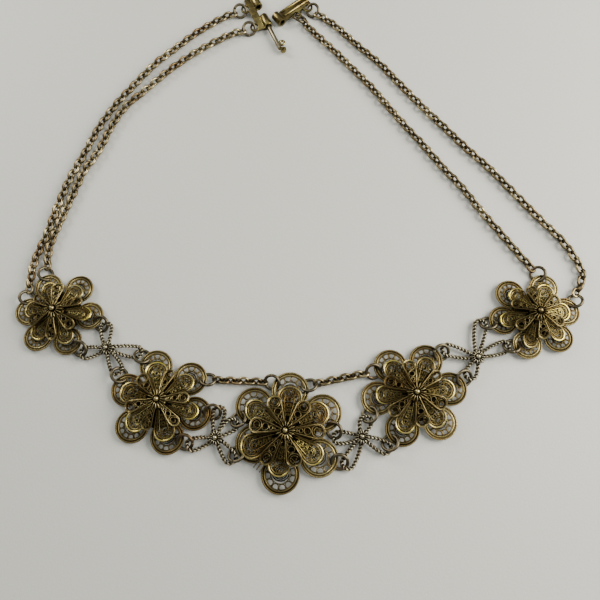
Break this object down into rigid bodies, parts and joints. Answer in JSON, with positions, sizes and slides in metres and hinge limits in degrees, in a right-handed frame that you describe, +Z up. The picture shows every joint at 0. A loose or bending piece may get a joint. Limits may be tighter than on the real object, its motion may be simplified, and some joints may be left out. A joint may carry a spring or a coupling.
{
  "type": "filigree necklace",
  "caption": "Bib necklace of layered filigree flowers and wire-loop connectors on paired cable chains, with a sliding-pin clasp, lying open.",
  "frame": {"origin": "middle of the necklace's footprint, on the table that it lies on", "axes": "+Z up from the table, +X along the row of flowers, +Y from the flowers towards the clasp"},
  "size_m": [0.1674, 0.1646, 0.0079],
  "materials": {
    "petal_filigree": "antiqued gold-washed brass filigree, dark in the recesses",
    "petal_ribbon": "rubbed bright gold-washed brass ribbon and filigree",
    "twisted_wire": "twisted brass wire with worn gold wash",
    "chain_wire": "worn brownish brass wire",
    "ring_wire": "worn brass wire, silvery where rubbed",
    "clasp_gilt": "polished yellow gilt",
    "pin_metal": "drawn steel with gilt left at its end rings"
  },
  "bodies": {
    "root": {"flower_1_back": "petal_filigree", "flower_1_middle": "petal_ribbon", "flower_1_front": "petal_filigree", "flower_2_back": "petal_filigree", "flower_2_middle": "petal_ribbon", "flower_2_front": "petal_filigree", "flower_3_back": "petal_filigree", "flower_3_middle": "petal_ribbon", "flower_3_front": "petal_filigree", "flower_4_back": "petal_filigree", "flower_4_middle": "petal_ribbon", "flower_4_front": "petal_filigree", "flower_5_back": "petal_filigree", "flower_5_middle": "petal_ribbon", "flower_5_front": "petal_filigree", "connector_1": "twisted_wire", "connector_2": "twisted_wire", "connector_3": "twisted_wire", "connector_4": "twisted_wire", "connector_1_ring_1": "ring_wire", "connector_1_ring_2": "ring_wire", "connector_1_ring_3": "ring_wire", "connector_1_ring_4": "ring_wire", "connector_2_ring_1": "ring_wire", "connector_2_ring_2": "ring_wire", "connector_2_ring_3": "ring_wire", "connector_2_ring_4": "ring_wire", "connector_3_ring_1": "ring_wire", "connector_3_ring_2": "ring_wire", "connector_3_ring_3": "ring_wire", "connector_3_ring_4": "ring_wire", "connector_4_ring_1": "ring_wire", "connector_4_ring_2": "ring_wire", "connector_4_ring_3": "ring_wire", "connector_4_ring_4": "ring_wire", "chain_left_outer": "chain_wire", "chain_left_inner": "chain_wire", "chain_right_inner": "chain_wire", "chain_right_outer": "chain_wire", "chain_short_left": "chain_wire", "chain_short_right": "chain_wire", "ring_left_outer_start": "ring_wire", "ring_left_outer_end": "ring_wire", "ring_left_inner_start": "ring_wire", "ring_left_inner_end": "ring_wire", "ring_right_inner_start": "ring_wire", "ring_right_inner_end": "ring_wire", "ring_right_outer_start": "ring_wire", "ring_right_outer_end": "ring_wire", "ring_short_left_start": "ring_wire", "ring_short_left_end": "ring_wire", "ring_short_right_start": "ring_wire", "ring_short_right_end": "ring_wire", "clasp_left": "clasp_gilt", "clasp_right": "clasp_gilt"},
    "pin": {"clasp_pin": "pin_metal"}
  },
  "joints": [
    {"name": "pin_slide", "type": "slide", "parent": "root", "child": "pin", "axis": [-0.4226, 0.9063, 0], "range_m": [0, 0.0066]}
  ]
}
